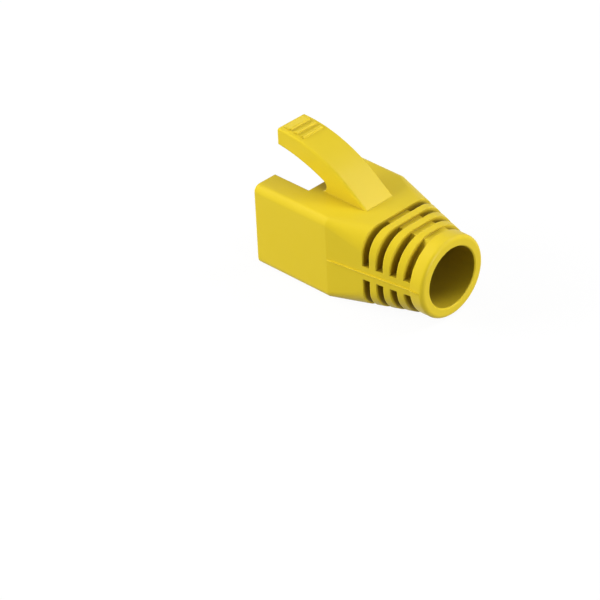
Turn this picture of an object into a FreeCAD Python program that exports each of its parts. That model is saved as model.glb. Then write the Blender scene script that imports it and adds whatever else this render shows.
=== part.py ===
"""Strain relief boot for an RJ45 plug, moulded in one piece from soft plastic.

Millimetres, +Z up.  X runs across the boot and Y along it, from the mouth that
takes the plug, at -Y, to the collar that grips the cable, at +Y.  The origin is
in the middle of the face that the boot rests on.
"""

import FreeCAD, Part

import math
import os

import Sketcher

# Driving dimensions: alias, value and what it measures
SIZES = (
    ("length", 27.3, "mouth to cable end"),
    ("housing_width", 14.6, "outside width at the mouth"),
    ("housing_height", 11.7, "outside height at the mouth"),
    ("housing_length", 12.6, "straight housing, from the mouth to the crease"),
    ("housing_round", 1.0, "rounding of the four long edges"),
    ("mouth_chamfer", 0.2, "chamfer round the mouth's outer edge"),
    ("side_wall", 1.35, "wall beside the plug"),
    ("top_wall", 1.5, "wall above the plug"),
    ("floor_wall", 1.75, "wall below the plug"),
    ("socket_depth", 9.4, "depth of the plug socket"),
    ("socket_round", 0.25, "rounding in the socket's corners"),
    ("shoulder", 0.75, "step at each side behind the plug"),
    ("funnel_round", 1.5, "corner rounding where the funnel starts"),
    ("funnel_end", 17.4, "mouth to the narrow end of the funnel"),
    ("funnel_step", 0.1, "step from the funnel down to the bore"),
    ("notch_width", 7.1, "width of the notch over the latch"),
    ("notch_length", 6.2, "length of the notch over the latch"),
    ("lip_height", 1.5, "retaining lip, above the socket floor"),
    ("lip_thickness", 1.05, "retaining lip, along the boot"),
    ("lip_slit", 0.3, "slit at each end of the lip"),
    ("lip_round", 0.3, "rounding of the lip's top edges"),
    ("bore_diameter", 8.3, "cable bore"),
    ("bore_chamfer", 0.15, "chamfer of the bore's rim"),
    ("collar_diameter", 11.2, "collar round the cable"),
    ("collar_length", 2.05, "collar behind the last groove"),
    ("collar_round", 0.55, "rounding of the collar's end"),
    ("collar_step", 0.08, "collar standing proud of the sleeve"),
    ("end_flat", 0.3, "flat left on each side where a round end is nearly reached"),
    ("groove_count", 4, "grooves round the sleeve"),
    ("groove_width", 1.05, "width of a groove"),
    ("groove_pitch", 2.03, "groove to groove"),
    ("core_wall", 0.5, "tube round the bore at the bottom of the grooves"),
    ("web_height", 1.95, "web that joins the ribs at each side"),
    ("spine_width", 3.6, "spine that joins the ribs at top and bottom"),
    ("spine_slant", 1.4, "run of the slant at each side of the spine"),
    ("spine_recess", 0.6, "spine below the housing's top"),
    ("lever_width", 5.0, "width of the lever"),
    ("lever_rise", 6.2, "top of the tip above the housing"),
    ("lever_reach", 15.1, "mouth to the root of the lever's slope"),
    ("lever_slope", 37.2, "angle of the lever's slope, in degrees"),
    ("lever_depth", 2.25, "height of the lever's side at the tip"),
    ("under_bend", 25.0, "radius of the lever's lower edge"),
    ("lever_sink", 0.6, "lever let into the housing's top"),
    ("lever_round", 0.3, "rounding of the lever's edges"),
    ("gap_reach", 7.5, "mouth to where the gap under the lever turns up"),
    ("gap_round", 0.85, "radius at the end of the gap"),
    ("flange", 1.05, "side wall of the lever"),
    ("plate", 1.0, "back of the lever above its channel"),
    ("channel_length", 9.6, "mouth to the end of the channel under the lever"),
    ("grip_count", 3, "grip bars on the tip"),
    ("grip_width", 3.5, "length of a grip bar, across the lever"),
    ("grip_round", 0.3, "radius of a grip bar"),
    ("grip_height", 0.25, "grip bar above the lever's back"),
    ("grip_pitch", 1.1, "bar to bar"),
    ("grip_setback", 1.4, "tip to the first bar"),
    ("ramp_setback", 0.25, "tip to the foot of the ramp up to the first bar"),
    ("ramp_root", 0.5, "ramp let into the lever's back"),
)

# Formulas that several features share
HALF_LENGTH = "Sizes.length / 2"
HALF_WIDTH = "Sizes.housing_width / 2"
AXIS_HEIGHT = "Sizes.housing_height / 2"
BORE_RADIUS = "Sizes.bore_diameter / 2"
COLLAR_RADIUS = "Sizes.collar_diameter / 2"
CORE_RADIUS = "Sizes.bore_diameter / 2 + Sizes.core_wall"
SLEEVE_END = "Sizes.length - Sizes.collar_length"
LEVER_TOP = "Sizes.housing_height + Sizes.lever_rise"
# Radius of the lever's back: level over the tip and touching the slope that ends at the root
LEVER_BEND = ("((Sizes.lever_reach * sin(Sizes.lever_slope) - Sizes.lever_rise"
              " * cos(Sizes.lever_slope)) / (1 - cos(Sizes.lever_slope)))")
CROWN_CENTRE = f"Sizes.housing_height + Sizes.lever_rise - {LEVER_BEND}"

# Numbers that a sketch gives its origin and second axis, and an element's start, end and centre
ORIGIN, Y_AXIS = (-1, 1), -2
START, END, CENTRE = range(1, 4)
QUARTER = math.pi / 2
SLACK = 1e-4

doc = FreeCAD.newDocument("strain_relief_boot")
sheet = doc.addObject("Spreadsheet::Sheet", "Sizes")
for row, (alias, value, meaning) in enumerate(SIZES, start=1):
    sheet.set(f"A{row}", meaning)
    sheet.set(f"B{row}", str(value))
    sheet.setAlias(f"B{row}", alias)
doc.recompute()


def number(formula):
    """Value of a formula on the sheet's cells."""
    return float(sheet.evalExpression(formula))


def new_body(name):
    """Empty body whose label is its name."""
    body = doc.addObject("PartDesign::Body", name)
    body.Label = name
    return body


def new_sketch(body, name, role, shift):
    """Sketch on one of the body's origin planes, shifted in that plane's frame by formulas."""
    sketch = body.newObject("Sketcher::SketchObject", name)
    plane = [feature for feature in body.Origin.OriginFeatures if feature.Role == role][0]
    sketch.AttachmentSupport = [(plane, "")]
    sketch.MapMode = "FlatFace"
    for letter, formula in zip("xyz", shift):
        if formula:
            sketch.setExpression(f".AttachmentOffset.Base.{letter}", formula)
    return sketch


def cross_section(body, name, station):
    """Sketch across the boot, centred on the bore's axis, a distance behind the mouth."""
    return new_sketch(body, name, "XZ_Plane", ("", AXIS_HEIGHT, f"{HALF_LENGTH} - ({station})"))


def side_view(body, name, station, height):
    """Sketch along the boot's middle plane, its first axis along Y and its second up."""
    return new_sketch(body, name, "YZ_Plane", (f"{station} - {HALF_LENGTH}", height, ""))


def line(sketch, start, end):
    """Add a straight line and return its number."""
    ends = [FreeCAD.Vector(x, y, 0) for x, y in (start, end)]
    return sketch.addGeometry(Part.LineSegment(*ends), False)


def arc(sketch, centre, radius, first, last):
    """Add an arc that turns to the left from one angle to another and return its number."""
    circle = Part.Circle(FreeCAD.Vector(*centre, 0), FreeCAD.Vector(0, 0, 1), radius)
    return sketch.addGeometry(Part.ArcOfCircle(circle, first, last), False)


def rule(sketch, kind, *items):
    """Add a constraint that has no value."""
    sketch.addConstraint(Sketcher.Constraint(kind, *items))


def measure(sketch, kind, items, formula):
    """Add a constraint whose value follows a formula."""
    index = sketch.addConstraint(Sketcher.Constraint(kind, *items, number(formula)))
    sketch.setExpression(f"Constraints[{index}]", formula)


def right_of(sketch, point, formula, origin=ORIGIN):
    """Hold a point a distance to the right of another, or of the origin."""
    measure(sketch, "DistanceX", (*origin, *point), formula)


def left_of(sketch, point, formula, origin=ORIGIN):
    """Hold a point a distance to the left of another, or of the origin."""
    measure(sketch, "DistanceX", (*point, *origin), formula)


def above(sketch, point, formula, origin=ORIGIN):
    """Hold a point a distance above another, or above the origin."""
    measure(sketch, "DistanceY", (*origin, *point), formula)


def below(sketch, point, formula, origin=ORIGIN):
    """Hold a point a distance below another, or below the origin."""
    measure(sketch, "DistanceY", (*point, *origin), formula)


def rounded_rectangle(sketch, half_width, top, bottom, corner):
    """Rounded rectangle, alike left and right of the origin and reaching above and below it."""
    x, up, down, r = (number(formula) for formula in (half_width, top, bottom, corner))
    base = line(sketch, (r - x, -down), (x - r, -down))
    turns = [arc(sketch, (x - r, r - down), r, -QUARTER, 0)]
    right = line(sketch, (x, r - down), (x, up - r))
    turns.append(arc(sketch, (x - r, up - r), r, 0, QUARTER))
    roof = line(sketch, (x - r, up), (r - x, up))
    turns.append(arc(sketch, (r - x, up - r), r, QUARTER, 2 * QUARTER))
    left = line(sketch, (-x, up - r), (-x, r - down))
    turns.append(arc(sketch, (r - x, r - down), r, 2 * QUARTER, 3 * QUARTER))
    sides = (base, right, roof, left)
    for number_of_side, side in enumerate(sides):
        turn = turns[number_of_side]
        rule(sketch, "Tangent", side, END, turn, START)
        rule(sketch, "Tangent", turn, END, sides[(number_of_side + 1) % 4], START)
    for side in (base, roof):
        rule(sketch, "Horizontal", side)
    for side in (right, left):
        rule(sketch, "Vertical", side)
    for turn in turns[1:]:
        rule(sketch, "Equal", turns[0], turn)
    measure(sketch, "Radius", (turns[0],), corner)
    right_of(sketch, (right, START), half_width)
    left_of(sketch, (left, START), half_width)
    above(sketch, (roof, START), top)
    below(sketch, (base, START), bottom)


def near_circle(sketch, radius, flat):
    """Rounded square that is a circle but for a short flat on each side."""
    rounded_rectangle(sketch, radius, radius, radius, f"{radius} - {flat} / 2")


def pad(body, name, sketch, length, symmetric=False, inward=False):
    """Pad a sketch by a formula; inward runs from the mouth towards the cable."""
    feature = body.newObject("PartDesign::Pad", name)
    feature.Profile = sketch
    feature.setExpression("Length", length)
    feature.Midplane = symmetric
    feature.Reversed = inward
    doc.recompute()
    return feature


def pocket(body, name, sketch, length, symmetric=False):
    """Cut a sketch out of the body by a formula and check that it removes something."""
    before = body.Shape.Volume
    feature = body.newObject("PartDesign::Pocket", name)
    feature.Profile = sketch
    feature.setExpression("Length", length)
    feature.Midplane = symmetric
    doc.recompute()
    if body.Shape.Volume >= before:
        raise RuntimeError(f"{name} removes nothing")
    return feature


def loft(body, name, kind, first, last):
    """Straight loft between two sketches, added or subtracted."""
    feature = body.newObject(f"PartDesign::{kind}Loft", name)
    feature.Profile = first
    feature.Sections = [(last, [""])]
    feature.Ruled = True
    doc.recompute()
    return feature


def turn_about_axis(body, name, kind, sketch):
    """Turn a side view's outline once round its own first axis."""
    feature = body.newObject(f"PartDesign::{kind}", name)
    feature.Profile = sketch
    feature.ReferenceAxis = (sketch, ["H_Axis"])
    feature.Angle = 360
    doc.recompute()
    return feature


def trim_edges(body, name, feature, chosen, kind, formula):
    """Fillet or chamfer the edges of a feature that a test picks."""
    trim = body.newObject(f"PartDesign::{kind}", name)
    names = [f"Edge{i}" for i, edge in enumerate(feature.Shape.Edges, start=1) if chosen(edge)]
    trim.Base = (feature, names)
    trim.setExpression("Radius" if kind == "Fillet" else "Size", formula)
    doc.recompute()
    return trim


def every_point(edge, test):
    """True if a test holds at both ends and the middle of an edge."""
    first, last = edge.ParameterRange
    return all(test(edge.valueAt(value)) for value in (first, (first + last) / 2, last))


def close(one, other):
    """True if two lengths are equal for picking an edge."""
    return abs(one - other) < SLACK


# Housing: a straight box, then a sleeve that tapers and grows round towards the collar
boot = new_body("boot")

mouth_outline = cross_section(boot, "MouthOutline", "0")
rounded_rectangle(mouth_outline, HALF_WIDTH, AXIS_HEIGHT, AXIS_HEIGHT, "Sizes.housing_round")
housing = pad(boot, "Housing", mouth_outline, "Sizes.housing_length", inward=True)

mouth_y = -number(HALF_LENGTH)
trim_edges(boot, "MouthChamfer", housing,
           lambda edge: every_point(edge, lambda point: close(point.y, mouth_y)),
           "Chamfer", "Sizes.mouth_chamfer")

crease_outline = cross_section(boot, "CreaseOutline", "Sizes.housing_length")
rounded_rectangle(crease_outline, HALF_WIDTH, AXIS_HEIGHT, AXIS_HEIGHT, "Sizes.housing_round")
sleeve_outline = cross_section(boot, "SleeveOutline", SLEEVE_END)
near_circle(sleeve_outline, f"{COLLAR_RADIUS} - Sizes.collar_step", "Sizes.end_flat")
loft(boot, "Sleeve", "Additive", crease_outline, sleeve_outline)


def collar_profile(sketch):
    """Half section of the collar, with a rounded outer edge at the cable end."""
    length, radius, turn = (number(formula) for formula in
                            ("Sizes.collar_length", COLLAR_RADIUS, "Sizes.collar_round"))
    middle = line(sketch, (0, 0), (length, 0))
    face = line(sketch, (length, 0), (length, radius - turn))
    edge = arc(sketch, (length - turn, radius - turn), turn, 0, QUARTER)
    outside = line(sketch, (length - turn, radius), (0, radius))
    seat = line(sketch, (0, radius), (0, 0))
    rule(sketch, "Coincident", middle, START, *ORIGIN)
    rule(sketch, "Coincident", middle, END, face, START)
    rule(sketch, "Tangent", face, END, edge, START)
    rule(sketch, "Tangent", edge, END, outside, START)
    rule(sketch, "Coincident", outside, END, seat, START)
    rule(sketch, "Coincident", seat, END, middle, START)
    for level in (middle, outside):
        rule(sketch, "Horizontal", level)
    for upright in (face, seat):
        rule(sketch, "Vertical", upright)
    measure(sketch, "Radius", (edge,), "Sizes.collar_round")
    right_of(sketch, (middle, END), "Sizes.collar_length")
    above(sketch, (seat, START), COLLAR_RADIUS)


collar_sketch = side_view(boot, "CollarProfile", SLEEVE_END, AXIS_HEIGHT)
collar_profile(collar_sketch)
turn_about_axis(boot, "Collar", "Revolution", collar_sketch)


def groove_outline(sketch, put_up):
    """Half of a groove's section: outside the core, between the webs and over the spine.

    put_up is above or below, for the half over or under the bore's axis.
    """
    side = 1 if put_up is above else -1
    core = number(CORE_RADIUS)
    web = number("Sizes.web_height / 2")
    spine = number("Sizes.spine_width / 2")
    foot = number("Sizes.spine_width / 2 + Sizes.spine_slant")
    spine_top = number(f"{AXIS_HEIGHT} - Sizes.spine_recess")
    wide = number("Sizes.housing_width / 2 + Sizes.groove_width")
    high = number("Sizes.housing_height / 2 + Sizes.groove_width")
    at_web = math.sqrt(core ** 2 - web ** 2)
    at_foot = math.sqrt(core ** 2 - foot ** 2)
    web_angle = math.asin(web / core)
    foot_angle = math.acos(foot / core)

    halves = []
    for hand in (1, -1):
        ledge = line(sketch, (hand * wide, side * web), (hand * at_web, side * web))
        angles = sorted(math.atan2(side * math.sin(angle), hand * math.cos(angle)) % (4 * QUARTER)
                        for angle in (web_angle, foot_angle))
        floor = arc(sketch, (0, 0), core, *angles)
        web_end = START if hand == side else END
        spine_end = END if hand == side else START
        flank = line(sketch, (hand * foot, side * at_foot), (hand * spine, side * spine_top))
        wall = line(sketch, (hand * wide, side * web), (hand * wide, side * high))
        rule(sketch, "Coincident", floor, CENTRE, *ORIGIN)
        rule(sketch, "Coincident", ledge, END, floor, web_end)
        rule(sketch, "Coincident", floor, spine_end, flank, START)
        rule(sketch, "Coincident", wall, START, ledge, START)
        rule(sketch, "Horizontal", ledge)
        rule(sketch, "Vertical", wall)
        measure(sketch, "Radius", (floor,), CORE_RADIUS)
        put_out = right_of if hand == 1 else left_of
        put_out(sketch, (flank, START), "Sizes.spine_width / 2 + Sizes.spine_slant")
        put_out(sketch, (flank, END), "Sizes.spine_width / 2")
        put_out(sketch, (wall, START), "Sizes.housing_width / 2 + Sizes.groove_width")
        put_up(sketch, (ledge, START), "Sizes.web_height / 2")
        halves.append((flank, wall))
    (flank, wall), (other_flank, other_wall) = halves
    saddle = line(sketch, (spine, side * spine_top), (-spine, side * spine_top))
    cover = line(sketch, (wide, side * high), (-wide, side * high))
    for bar, near, far, formula in (
            (saddle, flank, other_flank, f"{AXIS_HEIGHT} - Sizes.spine_recess"),
            (cover, wall, other_wall, "Sizes.housing_height / 2 + Sizes.groove_width")):
        rule(sketch, "Coincident", bar, START, near, END)
        rule(sketch, "Coincident", bar, END, far, END)
        rule(sketch, "Horizontal", bar)
        put_up(sketch, (bar, START), formula)


# Grooves: cut down to a thin core, with a web at each side and a spine at top and bottom
groove_station = f"{SLEEVE_END} - Sizes.groove_width / 2"
groove_cuts = []
for half_name, put_up in (("Upper", above), ("Lower", below)):
    groove_sketch = cross_section(boot, f"{half_name}GrooveOutline", groove_station)
    groove_outline(groove_sketch, put_up)
    groove_cuts.append(pocket(boot, f"{half_name}Groove", groove_sketch, "Sizes.groove_width",
                              symmetric=True))
grooves = boot.newObject("PartDesign::LinearPattern", "Grooves")
grooves.Originals = groove_cuts
grooves.Direction = (groove_sketch, ["N_Axis"])
grooves.setExpression("Occurrences", "Sizes.groove_count")
grooves.setExpression("Length", "(Sizes.groove_count - 1) * Sizes.groove_pitch")
boot.Tip = grooves
doc.recompute()

# Plug socket, a funnel behind it and the cable bore
socket_outline = cross_section(boot, "SocketOutline", "0")
rounded_rectangle(socket_outline, f"{HALF_WIDTH} - Sizes.side_wall",
                  f"{AXIS_HEIGHT} - Sizes.top_wall", f"{AXIS_HEIGHT} - Sizes.floor_wall",
                  "Sizes.socket_round")
pocket(boot, "Socket", socket_outline, "Sizes.socket_depth")

funnel_mouth = cross_section(boot, "FunnelMouth", "Sizes.socket_depth")
rounded_rectangle(funnel_mouth, f"{HALF_WIDTH} - Sizes.side_wall - Sizes.shoulder",
                  f"{AXIS_HEIGHT} - Sizes.top_wall - Sizes.shoulder / 2",
                  f"{AXIS_HEIGHT} - Sizes.floor_wall - Sizes.shoulder / 2",
                  "Sizes.funnel_round")
funnel_throat = cross_section(boot, "FunnelThroat", "Sizes.funnel_end")
near_circle(funnel_throat, f"{BORE_RADIUS} + Sizes.funnel_step", "Sizes.end_flat")
loft(boot, "Funnel", "Subtractive", funnel_mouth, funnel_throat)


def bore_profile(sketch):
    """Half section of the cable bore, from the cable end inwards, with a chamfered rim."""
    depth, radius, turn = (number(formula) for formula in
                           ("Sizes.length - Sizes.funnel_end", BORE_RADIUS, "Sizes.bore_chamfer"))
    middle = line(sketch, (-depth, 0), (0, 0))
    face = line(sketch, (0, 0), (0, radius + turn))
    rim = line(sketch, (-turn, radius), (0, radius + turn))
    wall = line(sketch, (-turn, radius), (-depth, radius))
    back = line(sketch, (-depth, radius), (-depth, 0))
    rule(sketch, "Coincident", middle, END, *ORIGIN)
    rule(sketch, "Coincident", middle, END, face, START)
    rule(sketch, "Coincident", face, END, rim, END)
    rule(sketch, "Coincident", rim, START, wall, START)
    rule(sketch, "Coincident", wall, END, back, START)
    rule(sketch, "Coincident", back, END, middle, START)
    for level in (middle, wall):
        rule(sketch, "Horizontal", level)
    for upright in (face, back):
        rule(sketch, "Vertical", upright)
    left_of(sketch, (middle, START), "Sizes.length - Sizes.funnel_end")
    left_of(sketch, (rim, START), "Sizes.bore_chamfer")
    above(sketch, (back, START), BORE_RADIUS)
    above(sketch, (rim, END), f"{BORE_RADIUS} + Sizes.bore_chamfer")


bore_sketch = side_view(boot, "BoreProfile", "Sizes.length", AXIS_HEIGHT)
bore_profile(bore_sketch)
turn_about_axis(boot, "Bore", "Groove", bore_sketch)


def rectangle(sketch, half_width, top):
    """Rectangle that stands on the origin, alike left and right of it."""
    x, y = number(half_width), number(top)
    corners = ((-x, 0), (x, 0), (x, y), (-x, y))
    sides = [line(sketch, corner, corners[(index + 1) % 4]) for index, corner in enumerate(corners)]
    for index, side in enumerate(sides):
        rule(sketch, "Coincident", side, END, sides[(index + 1) % 4], START)
        rule(sketch, "Vertical" if index % 2 else "Horizontal", side)
    rule(sketch, "PointOnObject", *ORIGIN, sides[0])
    right_of(sketch, (sides[0], END), half_width)
    left_of(sketch, (sides[0], START), half_width)
    above(sketch, (sides[2], START), top)


# Notch in the top wall, over the plug's latch
notch_outline = cross_section(boot, "NotchOutline", "0")
rectangle(notch_outline, "Sizes.notch_width / 2", "Sizes.housing_height")
pocket(boot, "Notch", notch_outline, "Sizes.notch_length")


def lip_profile(sketch):
    """Section of the lip on the socket's floor: rooted in the floor, rounded on top."""
    depth, top, turn, root = (number(formula) for formula in
                              ("Sizes.lip_thickness", "Sizes.lip_height", "Sizes.lip_round",
                               "Sizes.floor_wall / 2"))
    base = line(sketch, (0, -root), (depth, -root))
    back = line(sketch, (depth, -root), (depth, top - turn))
    back_turn = arc(sketch, (depth - turn, top - turn), turn, 0, QUARTER)
    crest = line(sketch, (depth - turn, top), (turn, top))
    front_turn = arc(sketch, (turn, top - turn), turn, QUARTER, 2 * QUARTER)
    front = line(sketch, (0, top - turn), (0, -root))
    rule(sketch, "Coincident", base, END, back, START)
    rule(sketch, "Tangent", back, END, back_turn, START)
    rule(sketch, "Tangent", back_turn, END, crest, START)
    rule(sketch, "Tangent", crest, END, front_turn, START)
    rule(sketch, "Tangent", front_turn, END, front, START)
    rule(sketch, "Coincident", front, END, base, START)
    for level in (base, crest):
        rule(sketch, "Horizontal", level)
    for upright in (back, front):
        rule(sketch, "Vertical", upright)
    rule(sketch, "Equal", back_turn, front_turn)
    rule(sketch, "PointOnObject", front, START, Y_AXIS)
    measure(sketch, "Radius", (front_turn,), "Sizes.lip_round")
    right_of(sketch, (back, START), "Sizes.lip_thickness")
    above(sketch, (crest, START), "Sizes.lip_height")
    below(sketch, (base, START), "Sizes.floor_wall / 2")


lip_sketch = side_view(boot, "LipProfile", "0", "Sizes.floor_wall")
lip_profile(lip_sketch)
pad(boot, "Lip", lip_sketch,
    "Sizes.housing_width - 2 * Sizes.side_wall - 2 * Sizes.lip_slit", symmetric=True)


def lever_profile(sketch):
    """Side of the lever, from the mouth: an arched back, a straight slope down to the root,
    a foot let into the housing, and a lower edge that turns round the end of the gap."""
    top, roof, bend, under, turn = (number(formula) for formula in
                                    (LEVER_TOP, "Sizes.housing_height", LEVER_BEND,
                                     "Sizes.under_bend", "Sizes.gap_round"))
    reach, heel, foot, low = (number(formula) for formula in
                              ("Sizes.lever_reach", "Sizes.gap_reach",
                               "Sizes.housing_height - Sizes.lever_sink",
                               f"{LEVER_TOP} - Sizes.lever_depth"))
    # the slope touches the back where the radius is square to it
    to_root = FreeCAD.Vector(reach, roof - (top - bend), 0)
    slope_angle = math.atan2(to_root.y, to_root.x) + math.acos(bend / to_root.Length)
    slope_start = (bend * math.cos(slope_angle), top - bend + bend * math.sin(slope_angle))
    # the lower edge's centre, from its start at the tip and its touch with the gap's round end
    tip = FreeCAD.Vector(0, low, 0)
    gap = FreeCAD.Vector(heel, roof + turn, 0)
    span = gap - tip
    along = (under ** 2 - (under - turn) ** 2 + span.Length ** 2) / (2 * span.Length)
    down = math.sqrt(under ** 2 - along ** 2)
    unit = span / span.Length
    middle = tip + unit * along + FreeCAD.Vector(unit.y, -unit.x, 0) * down
    gap_angle = math.atan2(gap.y - middle.y, gap.x - middle.x)
    tip_angle = math.atan2(tip.y - middle.y, tip.x - middle.x)

    back = arc(sketch, (0, top - bend), bend, slope_angle, QUARTER)
    slope = line(sketch, (reach, roof), slope_start)
    root = line(sketch, (reach, foot), (reach, roof))
    base = line(sketch, (heel, foot), (reach, foot))
    rise = line(sketch, (heel, roof), (heel, foot))
    gap_end = arc(sketch, (gap.x, gap.y), turn, -QUARTER, gap_angle)
    lower = arc(sketch, (middle.x, middle.y), under, gap_angle, tip_angle)
    front = line(sketch, (0, low), (0, top))
    rule(sketch, "Coincident", base, END, root, START)
    rule(sketch, "Coincident", root, END, slope, START)
    rule(sketch, "Tangent", slope, END, back, START)
    rule(sketch, "Coincident", back, END, front, END)
    rule(sketch, "Coincident", front, START, lower, END)
    rule(sketch, "Tangent", lower, START, gap_end, END)
    rule(sketch, "Coincident", gap_end, START, rise, START)
    rule(sketch, "Coincident", rise, END, base, START)
    for upright in (root, rise, front):
        rule(sketch, "Vertical", upright)
    rule(sketch, "Horizontal", base)
    rule(sketch, "Vertical", gap_end, CENTRE, gap_end, START)
    rule(sketch, "PointOnObject", back, CENTRE, Y_AXIS)
    rule(sketch, "PointOnObject", back, END, Y_AXIS)
    measure(sketch, "Radius", (back,), LEVER_BEND)
    measure(sketch, "Radius", (lower,), "Sizes.under_bend")
    measure(sketch, "Radius", (gap_end,), "Sizes.gap_round")
    above(sketch, (back, END), LEVER_TOP)
    below(sketch, (front, START), "Sizes.lever_depth", origin=(back, END))
    right_of(sketch, (rise, START), "Sizes.gap_reach")
    above(sketch, (rise, START), "Sizes.housing_height")
    right_of(sketch, (root, END), "Sizes.lever_reach")
    above(sketch, (root, END), "Sizes.housing_height")
    below(sketch, (rise, END), "Sizes.lever_sink", origin=(rise, START))


def channel_outline(sketch):
    """Hollow under the lever's back, seen from the side and centred on the back's bend."""
    radius, rear, front, low = (number(formula) for formula in
                                (f"{LEVER_BEND} - Sizes.plate", "Sizes.channel_length",
                                 "Sizes.plate", f"{LEVER_BEND} - Sizes.lever_rise"))
    ceiling = arc(sketch, (0, 0), radius, math.acos(rear / radius), math.acos(-front / radius))
    mouth_side = line(sketch, (-front, math.sqrt(radius ** 2 - front ** 2)), (-front, low))
    base = line(sketch, (-front, low), (rear, low))
    end = line(sketch, (rear, low), (rear, math.sqrt(radius ** 2 - rear ** 2)))
    rule(sketch, "Coincident", ceiling, CENTRE, *ORIGIN)
    rule(sketch, "Coincident", ceiling, END, mouth_side, START)
    rule(sketch, "Coincident", mouth_side, END, base, START)
    rule(sketch, "Coincident", base, END, end, START)
    rule(sketch, "Coincident", end, END, ceiling, START)
    rule(sketch, "Vertical", mouth_side)
    rule(sketch, "Horizontal", base)
    rule(sketch, "Vertical", end)
    measure(sketch, "Radius", (ceiling,), f"{LEVER_BEND} - Sizes.plate")
    right_of(sketch, (end, START), "Sizes.channel_length")
    left_of(sketch, (base, START), "Sizes.plate")
    above(sketch, (base, START), f"{LEVER_BEND} - Sizes.lever_rise")


# Lever that covers the plug's latch: rounded, hollow underneath, with grip bars on its tip
lever = new_body("lever")
lever_sketch = side_view(lever, "LeverProfile", "0", "")
lever_profile(lever_sketch)
lever_block = pad(lever, "LeverBlock", lever_sketch, "Sizes.lever_width", symmetric=True)

roof_height = number("Sizes.housing_height")
crown_centre = number(CROWN_CENTRE)
crown_radius = number(LEVER_BEND)


def on_lever_back(point):
    """True for a point of the lever's back or of the slope down to its root."""
    from_centre = math.hypot(point.y - mouth_y, point.z - crown_centre)
    on_bend = close(from_centre, crown_radius)
    return on_bend or (from_centre > crown_radius and point.z > roof_height - SLACK)


def along_lever(edge):
    """True for the two long edges of the lever's back, down to its root."""
    first, last = (edge.valueAt(value) for value in edge.ParameterRange)
    return every_point(edge, on_lever_back) and close(first.x, last.x)


trim_edges(lever, "LeverRound", lever_block, along_lever, "Fillet", "Sizes.lever_round")

channel_sketch = side_view(lever, "ChannelOutline", "0", CROWN_CENTRE)
channel_outline(channel_sketch)
pocket(lever, "Channel", channel_sketch, "Sizes.lever_width - 2 * Sizes.flange", symmetric=True)

# Grip bars: one bar, repeated along the bend of the lever's back
grip_sketch = side_view(lever, "GripOutline", "0", CROWN_CENTRE)
grip_centre = f"({LEVER_BEND} + Sizes.grip_height - Sizes.grip_round)"
grip_turn = f"Sizes.grip_setback / {LEVER_BEND} * 180 / pi"
FIRST_BAR_AT = f"{grip_centre} * sin({grip_turn})"
FIRST_BAR_LEVEL = f"{grip_centre} * cos({grip_turn})"
FIRST_BAR_CREST = f"{FIRST_BAR_LEVEL} + Sizes.grip_round"
grip_at = [number(formula) for formula in (FIRST_BAR_AT, FIRST_BAR_LEVEL)]
grip_circle = grip_sketch.addGeometry(
    Part.Circle(FreeCAD.Vector(*grip_at, 0), FreeCAD.Vector(0, 0, 1),
                number("Sizes.grip_round")), False)
measure(grip_sketch, "Radius", (grip_circle,), "Sizes.grip_round")
right_of(grip_sketch, (grip_circle, CENTRE), FIRST_BAR_AT)
above(grip_sketch, (grip_circle, CENTRE), FIRST_BAR_LEVEL)
grip = pad(lever, "Grip", grip_sketch, "Sizes.grip_width", symmetric=True)
grips = lever.newObject("PartDesign::PolarPattern", "Grips")
grips.Originals = [grip]
grips.Axis = (grip_sketch, ["N_Axis"])
grips.Reversed = True
grips.setExpression("Occurrences", "Sizes.grip_count")
grips.setExpression("Angle",
                    f"(Sizes.grip_count - 1) * Sizes.grip_pitch / {LEVER_BEND} * 180 / pi")
lever.Tip = grips
doc.recompute()


def ramp_profile(sketch):
    """Shallow ramp on the tip, from near the end of the lever up to the first bar's crest."""
    foot, crest_at, level, crest, low = (number(formula) for formula in
                                         ("Sizes.ramp_setback", FIRST_BAR_AT, LEVER_BEND,
                                          FIRST_BAR_CREST, f"{LEVER_BEND} - Sizes.ramp_root"))
    base = line(sketch, (foot, low), (crest_at, low))
    drop = line(sketch, (crest_at, low), (crest_at, crest))
    rise = line(sketch, (crest_at, crest), (foot, level))
    toe = line(sketch, (foot, level), (foot, low))
    for one, other in ((base, drop), (drop, rise), (rise, toe), (toe, base)):
        rule(sketch, "Coincident", one, END, other, START)
    rule(sketch, "Horizontal", base)
    for upright in (drop, toe):
        rule(sketch, "Vertical", upright)
    right_of(sketch, (base, START), "Sizes.ramp_setback")
    right_of(sketch, (base, END), FIRST_BAR_AT)
    above(sketch, (toe, START), LEVER_BEND)
    above(sketch, (drop, END), FIRST_BAR_CREST)
    above(sketch, (base, START), f"{LEVER_BEND} - Sizes.ramp_root")


ramp_sketch = side_view(lever, "RampProfile", "0", CROWN_CENTRE)
ramp_profile(ramp_sketch)
pad(lever, "Ramp", ramp_sketch, "Sizes.grip_width", symmetric=True)

# The lever and the housing are moulded as one piece
joined = boot.newObject("PartDesign::Boolean", "LeverJoin")
joined.Type = "Fuse"
joined.setObjects([lever])
boot.Tip = joined
doc.recompute()

for item in doc.Objects:
    if "Invalid" in item.State or "Error" in item.State:
        raise RuntimeError(f"{item.Name} failed: {item.State}")

os.makedirs("parts", exist_ok=True)
shape = boot.Shape
if shape.isNull() or not shape.isValid() or len(shape.Solids) != 1:
    raise RuntimeError(f"{boot.Label} is not one valid solid")
shape.exportStep(f"parts/{boot.Label}.step")
box = shape.BoundBox
print(f"{boot.Label}: {box.XLength:.2f} x {box.YLength:.2f} x {box.ZLength:.2f} mm, "
      f"{shape.Volume:.1f} mm3, {len(shape.Faces)} faces")
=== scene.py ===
"""The look of a strain relief boot: satin plastic, mould line, floor, light and camera."""

import logging
import math
from dataclasses import dataclass
from enum import Enum

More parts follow.
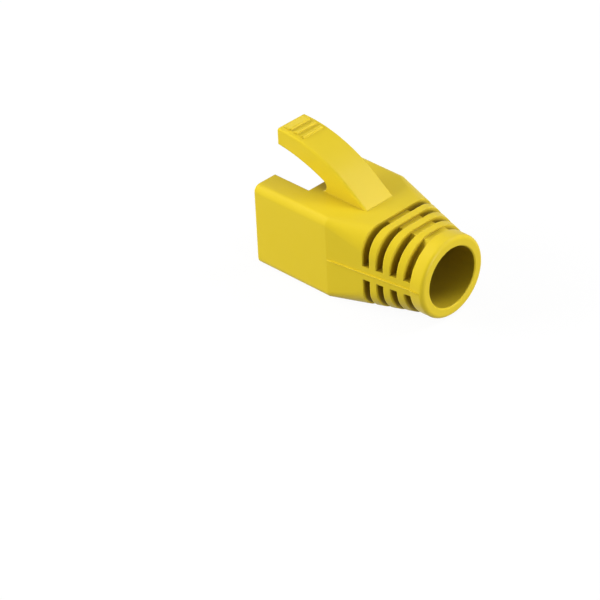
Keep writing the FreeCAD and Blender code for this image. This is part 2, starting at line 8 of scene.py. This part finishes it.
import bpy
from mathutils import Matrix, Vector


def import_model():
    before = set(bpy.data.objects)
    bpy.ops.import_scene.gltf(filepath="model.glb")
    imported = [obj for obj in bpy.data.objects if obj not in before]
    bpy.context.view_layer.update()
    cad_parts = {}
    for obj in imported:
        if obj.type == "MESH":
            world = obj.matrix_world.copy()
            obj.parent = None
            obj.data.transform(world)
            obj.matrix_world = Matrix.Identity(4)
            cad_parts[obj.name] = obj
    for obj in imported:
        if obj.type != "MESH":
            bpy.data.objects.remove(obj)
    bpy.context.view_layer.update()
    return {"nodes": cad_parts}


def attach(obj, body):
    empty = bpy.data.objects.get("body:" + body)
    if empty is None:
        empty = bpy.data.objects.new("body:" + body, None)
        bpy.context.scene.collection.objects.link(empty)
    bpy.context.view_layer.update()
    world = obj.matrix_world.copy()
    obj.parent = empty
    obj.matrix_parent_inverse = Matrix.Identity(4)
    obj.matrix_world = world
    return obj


LOG = logging.getLogger("boot")
MM = 0.001

Point = tuple[float, float, float]
Colour = tuple[float, float, float, float]

WHITE: Colour = (1.0, 1.0, 1.0, 1.0)
MIDDLE = 0.5
SHADER_SAMPLES = 8


class Ray(Enum):
    """The rays that see the white studio, by their socket on the Light Path node."""

    CAMERA = "Is Camera Ray"
    GLOSSY = "Is Glossy Ray"
    TRANSMISSION = "Is Transmission Ray"


class ColourMix(Enum):
    """The sockets of a Mix node that mixes colours, by their place in its lists."""

    FIRST = 6
    SECOND = 7
    RESULT = 2


def deselect_all() -> None:
    """Leaves no object selected."""
    bpy.ops.object.select_all(action="DESELECT")


class Nodes:
    """A short way to add and link the nodes of one tree."""

    def __init__(self, tree: bpy.types.NodeTree) -> None:
        """Takes the tree and empties it.

        Args:
            tree: the node tree to fill.
        """
        self.tree = tree
        tree.nodes.clear()

    def add(self, kind: str, **settings: object) -> bpy.types.Node:
        """Adds a node and sets its properties.

        Args:
            kind: the node's type name.
            settings: the node's own properties by name.

        Returns:
            The new node.
        """
        node = self.tree.nodes.new(kind)
        for name, value in settings.items():
            setattr(node, name, value)
        return node

    def link(self, source: bpy.types.NodeSocket, target: bpy.types.NodeSocket) -> None:
        """Links an output socket to an input socket."""
        self.tree.links.new(source, target)

    def put(self, value: object, target: bpy.types.NodeSocket) -> None:
        """Links a socket to an input, or gives the input a plain value.

        Args:
            value: a socket, or a number or colour.
            target: the input.
        """
        if isinstance(value, bpy.types.NodeSocket):
            self.link(value, target)
        else:
            target.default_value = value

    def math(self, operation: str, first: object, second: object) -> bpy.types.NodeSocket:
        """Adds a Math node whose inputs are sockets or plain numbers.

        Args:
            operation: the node's operation.
            first: a socket or a number.
            second: a socket or a number.

        Returns:
            The node's output.
        """
        node = self.add("ShaderNodeMath", operation=operation)
        self.put(first, node.inputs[0])
        self.put(second, node.inputs[1])
        return node.outputs[0]

    def mix_colours(
        self, share: bpy.types.NodeSocket, first: object, second: object
    ) -> bpy.types.NodeSocket:
        """Adds a Mix node between two colours.

        Args:
            share: how much of the second colour shows, from 0 to 1.
            first: a socket or a colour.
            second: a socket or a colour.

        Returns:
            The mixed colour.
        """
        node = self.add("ShaderNodeMix", data_type="RGBA")
        self.link(share, node.inputs["Factor"])
        self.put(first, node.inputs[ColourMix.FIRST.value])
        self.put(second, node.inputs[ColourMix.SECOND.value])
        return node.outputs[ColourMix.RESULT.value]

    def mix_shaders(
        self, share: bpy.types.NodeSocket, first: bpy.types.Node, second: bpy.types.Node
    ) -> bpy.types.NodeSocket:
        """Adds a Mix Shader node between two shader nodes.

        Args:
            share: how much of the second shader shows, from 0 to 1.
            first: a node whose first output is a shader.
            second: another such node.

        Returns:
            The mixed shader.
        """
        node = self.add("ShaderNodeMixShader")
        self.link(share, node.inputs["Fac"])
        self.link(first.outputs[0], node.inputs[1])
        self.link(second.outputs[0], node.inputs[2])
        return node.outputs["Shader"]

    def white_when_seen(self) -> bpy.types.NodeSocket:
        """Adds the mask that is 1 for the rays that see the white studio.

        Returns:
            The mask.
        """
        path = self.add("ShaderNodeLightPath")
        mask = path.outputs[Ray.CAMERA.value]
        for ray in (Ray.GLOSSY, Ray.TRANSMISSION):
            mask = self.math("MAXIMUM", mask, path.outputs[ray.value])
        return mask


@dataclass(frozen=True)
class Noise:
    """A noise pattern: its scale per metre, its octaves and how rough they are."""

    scale: float
    detail: float
    roughness: float = 0.5

    def add(self, nodes: Nodes, place: bpy.types.Node) -> bpy.types.NodeSocket:
        """Adds the pattern on Object coordinates.

        Args:
            nodes: the tree to add it to.
            place: the tree's Texture Coordinate node.

        Returns:
            The pattern's value.
        """
        node = nodes.add("ShaderNodeTexNoise")
        node.inputs["Scale"].default_value = self.scale
        node.inputs["Detail"].default_value = self.detail
        node.inputs["Roughness"].default_value = self.roughness
        nodes.link(place.outputs["Object"], node.inputs["Vector"])
        return node.outputs["Fac"]


@dataclass(frozen=True)
class MouldedSkin:
    """The skin of a moulding: slow shades of its pigment, uneven gloss, and a fine grain."""

    shade: Noise = Noise(140.0, 3.0, 0.55)
    gloss: Noise = Noise(420.0, 2.0)
    grain: Noise = Noise(5200.0, 2.0, 0.6)
    swell: Noise = Noise(310.0, 1.0)
    swell_weight: float = 2.5

    def group(self) -> bpy.types.NodeTree:
        """Makes the shader node group that every finish of this skin uses.

        Returns:
            The group, with the inputs Pigment, Deep, Roughness and Spread.
        """
        group = bpy.data.node_groups.new("MouldedSkin", "ShaderNodeTree")
        sockets = (
            ("Pigment", "INPUT", "NodeSocketColor"),
            ("Deep", "INPUT", "NodeSocketColor"),
            ("Roughness", "INPUT", "NodeSocketFloat"),
            ("Spread", "INPUT", "NodeSocketFloat"),
            ("Colour", "OUTPUT", "NodeSocketColor"),
            ("Gloss", "OUTPUT", "NodeSocketFloat"),
            ("Grain", "OUTPUT", "NodeSocketFloat"),
        )
        for name, way, kind in sockets:
            group.interface.new_socket(name=name, in_out=way, socket_type=kind)
        nodes = Nodes(group)
        entry = nodes.add("NodeGroupInput")
        leave = nodes.add("NodeGroupOutput")
        place = nodes.add("ShaderNodeTexCoord")

        shade = self.shade.add(nodes, place)
        colour = nodes.mix_colours(shade, entry.outputs["Pigment"], entry.outputs["Deep"])
        nodes.link(colour, leave.inputs["Colour"])

        offset = nodes.math("SUBTRACT", self.gloss.add(nodes, place), MIDDLE)
        offset = nodes.math("MULTIPLY", offset, entry.outputs["Spread"])
        gloss = nodes.math("ADD", entry.outputs["Roughness"], offset)
        nodes.link(gloss, leave.inputs["Gloss"])

        swell = nodes.math("MULTIPLY", self.swell.add(nodes, place), self.swell_weight)
        grain = nodes.math("ADD", self.grain.add(nodes, place), swell)
        nodes.link(grain, leave.inputs["Grain"])
        return group


@dataclass(frozen=True)
class SoftPlastic:
    """Soft plastic, coloured all through, with a satin moulded skin."""

    name: str
    pigment: Colour
    deep: Colour
    roughness: float = 0.42
    spread: float = 0.10
    specular: float = 0.22
    grain_height: float = 0.0025 * MM
    edge_radius: float = 0.16 * MM
    # The shade painted into hollows: its colour, how far the occlusion test reaches, and the
    # openness from which nothing is painted.
    painted_shade: Colour = (0.23, 0.146, 0.012, 1.0)
    painted_shade_reach: float = 12.0 * MM
    unshaded_from: float = 0.76

    def make(self, skin: bpy.types.NodeTree) -> bpy.types.Material:
        """Builds the material.

        Args:
            skin: the moulded skin group.

        Returns:
            The material.
        """
        material = bpy.data.materials.new(self.name)
        material.use_nodes = True
        nodes = Nodes(material.node_tree)
        shader = nodes.add("ShaderNodeBsdfPrincipled")
        leave = nodes.add("ShaderNodeOutputMaterial")
        group = nodes.add("ShaderNodeGroup")
        group.node_tree = skin
        group.inputs["Pigment"].default_value = self.pigment
        group.inputs["Deep"].default_value = self.deep
        group.inputs["Roughness"].default_value = self.roughness
        group.inputs["Spread"].default_value = self.spread
        rim = nodes.add("ShaderNodeBevel", samples=SHADER_SAMPLES)
        rim.inputs["Radius"].default_value = self.edge_radius
        bump = nodes.add("ShaderNodeBump")
        bump.inputs["Distance"].default_value = self.grain_height
        nodes.link(group.outputs["Grain"], bump.inputs["Height"])
        nodes.link(rim.outputs["Normal"], bump.inputs["Normal"])
        # The base colour gets painted shade in the hollows.
        colour = self.with_painted_shade(nodes, group.outputs["Colour"])
        nodes.link(colour, shader.inputs["Base Color"])
        nodes.link(group.outputs["Gloss"], shader.inputs["Roughness"])
        nodes.link(bump.outputs["Normal"], shader.inputs["Normal"])
        shader.inputs["Specular IOR Level"].default_value = self.specular
        nodes.link(shader.outputs["BSDF"], leave.inputs["Surface"])
        return material

    def with_painted_shade(self, nodes: Nodes, colour: bpy.types.NodeSocket) -> bpy.types.NodeSocket:
        """Paints shade into the colour in hollows, where little of the surroundings is in sight.

        Args:
            nodes: the material's tree.
            colour: the colour of the open skin.

        Returns:
            The colour with painted shade in its hollows.
        """
        # Painted shade: an occlusion test mixes a dark colour into the base colour where little of
        # the surroundings is in sight.
        sight = nodes.add(
            "ShaderNodeAmbientOcclusion", samples=SHADER_SAMPLES, only_local=True)
        sight.inputs["Distance"].default_value = self.painted_shade_reach
        share = nodes.add("ShaderNodeMapRange")
        share.inputs["From Max"].default_value = self.unshaded_from
        nodes.link(sight.outputs["AO"], share.inputs["Value"])
        return nodes.mix_colours(share.outputs["Result"], self.painted_shade, colour)


YELLOW = SoftPlastic(
    "boot_yellow", pigment=(0.785, 0.592, 0.024, 1.0), deep=(0.750, 0.562, 0.018, 1.0))


@dataclass(frozen=True)
class Station:
    """A stop of the mould line: where it is on the boot's side, and how full the line is there."""

    across: float
    along: float
    fullness: float = 1.0


@dataclass(frozen=True)
class MouldLine:
    """The fine raised line where the mould's halves meet, along both sides of the sleeve.

    It follows the middle of the web between the grooves, from the housing's crease over the collar.
    """

    stations: tuple[Station, ...] = (
        Station(7.29 * MM, -1.00 * MM, 0.3),
        Station(7.21 * MM, -0.40 * MM),
        Station(5.53 * MM, 11.50 * MM),
        Station(5.60 * MM, 11.70 * MM),
        Station(5.60 * MM, 12.80 * MM),
        Station(5.58 * MM, 13.05 * MM, 0.3),
    )
    height: float = 5.85 * MM
    proud: float = 0.15 * MM
    sunk: float = 0.10 * MM
    width: float = 0.17 * MM
    edge: float = 0.025 * MM
    edge_steps: int = 2
    upright: float = math.radians(90.0)
    smooth_below: float = math.radians(40.0)

    def centre(self, station: Station) -> Vector:
        """Finds the middle of the line's section at a stop.

        Args:
            station: the stop.

        Returns:
            The middle of the section.
        """
        across = station.across + (self.proud - self.sunk) / 2
        return Vector((across, station.along, self.height))

    def build(self) -> bpy.types.Object:
        """Sweeps the line along one side from stop to stop, and mirrors it to the other side.

        Returns:
            The piece.
        """
        first = self.stations[0]
        deselect_all()
        bpy.ops.mesh.primitive_plane_add(
            size=1.0, location=self.centre(first), rotation=(self.upright, 0.0, 0.0))
        line = bpy.context.object
        line.name = "mould_line"
        depth = self.proud + self.sunk
        line.scale = (depth * first.fullness, self.width * first.fullness, 1.0)
        bpy.ops.object.transform_apply(location=True, rotation=True, scale=True)
        bpy.ops.object.mode_set(mode="EDIT")
        bpy.ops.mesh.select_all(action="SELECT")
        for here, there in zip(self.stations, self.stations[1:]):
            step = self.centre(there) - self.centre(here)
            bpy.ops.mesh.extrude_region_move(TRANSFORM_OT_translate={"value": step})
            if there.fullness != here.fullness:
                swell = there.fullness / here.fullness
                bpy.ops.transform.resize(
                    value=(swell, 1.0, swell), center_override=self.centre(there))
        bpy.ops.object.mode_set(mode="OBJECT")
        bevel = line.modifiers.new("soft_edge", "BEVEL")
        bevel.width = self.edge
        bevel.segments = self.edge_steps
        mirror = line.modifiers.new("both_sides", "MIRROR")
        mirror.use_axis = (True, False, False)
        for modifier in (bevel, mirror):
            bpy.ops.object.modifier_apply(modifier=modifier.name)
        bpy.ops.object.mode_set(mode="EDIT")
        bpy.ops.mesh.select_all(action="SELECT")
        bpy.ops.mesh.normals_make_consistent(inside=False)
        bpy.ops.object.mode_set(mode="OBJECT")
        bpy.ops.object.shade_smooth_by_angle(angle=self.smooth_below)
        return line

    def dress(self, piece: bpy.types.Object, plastic: bpy.types.Material) -> None:
        """Gives the line its plastic and fixes it to the boot.

        Args:
            piece: the line.
            plastic: the boot's plastic.
        """
        piece.data.materials.append(plastic)
        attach(piece, "root")
        LOG.info("piece %s: %d faces", piece.name, len(piece.data.polygons))


@dataclass(frozen=True)
class Moulding:
    """The boot itself, in one piece, as the solid model gives it."""

    node: bpy.types.Object

    def dress(self, plastic: bpy.types.Material) -> None:
        """Puts the plastic in every material slot.

        Args:
            plastic: the boot's plastic.
        """
        for slot in self.node.material_slots:
            slot.material = plastic
        LOG.info("piece %s: %d faces", self.node.name, len(self.node.data.polygons))


@dataclass(frozen=True)
class Lamp:
    """A square soft lamp: its name, its place, the side of its square in metres and its watts.

    A lamp that is not mirrored lights the skin but shows no bright patch in its gloss.
    """

    name: str
    place: Point
    side: float
    power: float
    mirrored: bool = True

    def hang(self, target: Point) -> bpy.types.Object:
        """Hangs the lamp so that it faces a point.

        Args:
            target: the point it faces.

        Returns:
            The lamp.
        """
        data = bpy.data.lights.new(self.name, "AREA")
        data.shape = "SQUARE"
        data.size = self.side
        data.energy = self.power
        lamp = bpy.data.objects.new(self.name, data)
        bpy.context.scene.collection.objects.link(lamp)
        lamp.location = self.place
        lamp.visible_glossy = self.mirrored
        aim = Vector(target) - Vector(self.place)
        lamp.rotation_euler = aim.to_track_quat("-Z", "Y").to_euler()
        return lamp


@dataclass(frozen=True)
class Studio:
    """The pale floor, the soft lamps and the white surroundings.

    The floor and the sky send little light back at the boot, so that its hollows stay deep. Where
    they are seen, by the camera or in a gloss, they are white: the floor is then mostly glow, and
    the rest is lit by the lamps, which keeps the boot's shadow on it.
    """

    lamps: tuple[Lamp, ...] = (
        Lamp("lamp_top", (-0.05, 0.05, 0.60), 0.50, 0.62),
        Lamp("lamp_back", (-0.36, 0.22, 0.43), 0.25, 1.50),
        Lamp("lamp_front", (0.40, -0.44, 0.16), 0.45, 5.75, mirrored=False),
        Lamp("lamp_mouth", (0.10, -0.45, 0.40), 0.30, 0.65),
        Lamp("lamp_cable_end", (0.00, 0.57, 0.12), 0.25, 2.40),
    )
    target: Point = (0.0, 0.0, 8.0 * MM)
    floor_side: float = 3.0
    floor_cuts: int = 3
    floor_white: float = 0.12
    floor_seen: float = 0.80
    floor_glow: float = 1.027
    glow_share: float = 0.92
    sky: float = 0.04
    sky_seen: float = 1.0

    def floor_board(self) -> bpy.types.Material:
        """Makes the floor's material.

        Returns:
            The material.
        """
        material = bpy.data.materials.new("studio_floor")
        material.use_nodes = True
        nodes = Nodes(material.node_tree)
        leave = nodes.add("ShaderNodeOutputMaterial")
        mask = nodes.white_when_seen()
        board = nodes.add("ShaderNodeBsdfDiffuse")
        paler = nodes.math("MULTIPLY", mask, self.floor_seen - self.floor_white)
        nodes.link(nodes.math("ADD", paler, self.floor_white), board.inputs["Color"])
        glow = nodes.add("ShaderNodeEmission")
        glow.inputs["Color"].default_value = WHITE
        glow.inputs["Strength"].default_value = self.floor_glow
        share = nodes.math("MULTIPLY", mask, self.glow_share)
        nodes.link(nodes.mix_shaders(share, board, glow), leave.inputs["Surface"])
        return material

    def lay_floor(self) -> bpy.types.Object:
        """Lays the floor under the boot.

        Returns:
            The floor.
        """
        deselect_all()
        bpy.ops.mesh.primitive_plane_add(size=self.floor_side, location=(0.0, 0.0, 0.0))
        floor = bpy.context.object
        floor.name = "floor"
        bpy.ops.object.mode_set(mode="EDIT")
        bpy.ops.mesh.select_all(action="SELECT")
        bpy.ops.mesh.subdivide(number_cuts=self.floor_cuts)
        bpy.ops.object.mode_set(mode="OBJECT")
        floor.data.materials.append(self.floor_board())
        return floor

    def raise_sky(self) -> None:
        """Makes the world soft light that is seen as white."""
        world = bpy.data.worlds.new("studio")
        bpy.context.scene.world = world
        world.use_nodes = True
        nodes = Nodes(world.node_tree)
        leave = nodes.add("ShaderNodeOutputWorld")
        skies = []
        for strength in (self.sky, self.sky_seen):
            sky = nodes.add("ShaderNodeBackground")
            sky.inputs["Color"].default_value = WHITE
            sky.inputs["Strength"].default_value = strength
            skies.append(sky)
        mixed = nodes.mix_shaders(nodes.white_when_seen(), *skies)
        nodes.link(mixed, leave.inputs["Surface"])

    def hang_lamps(self) -> None:
        """Hangs all the lamps."""
        for lamp in self.lamps:
            lamp.hang(self.target)


@dataclass(frozen=True)
class Camera:
    """The camera that sees the boot from its cable end, from above and one side."""

    place: Point = (0.244371, 0.239510, 0.223060)
    turn: Point = (56.5253, 2.4081, 134.4277)
    lens: float = 192.672
    sensor: float = 36.0
    near: float = 0.01
    far: float = 20.0

    def set_up(self) -> bpy.types.Object:
        """Creates the camera and makes it the scene's.

        Returns:
            The camera.
        """
        data = bpy.data.cameras.new("camera")
        data.lens = self.lens
        data.sensor_width = self.sensor
        data.clip_start = self.near
        data.clip_end = self.far
        camera = bpy.data.objects.new("camera", data)
        bpy.context.scene.collection.objects.link(camera)
        camera.location = self.place
        camera.rotation_euler = tuple(math.radians(angle) for angle in self.turn)
        bpy.context.scene.camera = camera
        return camera


def main() -> None:
    """Loads the solid model, dresses it, adds its mould line, and sets the studio around it."""
    logging.basicConfig(level=logging.INFO, format="%(name)s: %(message)s")
    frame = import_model()
    plastic = YELLOW.make(MouldedSkin().group())
    Moulding(frame["nodes"]["boot"]).dress(plastic)
    line = MouldLine()
    line.dress(line.build(), plastic)
    studio = Studio()
    studio.lay_floor()
    studio.raise_sky()
    studio.hang_lamps()
    Camera().set_up()
    bpy.context.scene.view_settings.view_transform = "Standard"
    LOG.info("boxes written")


if __name__ == "__main__":
    main()
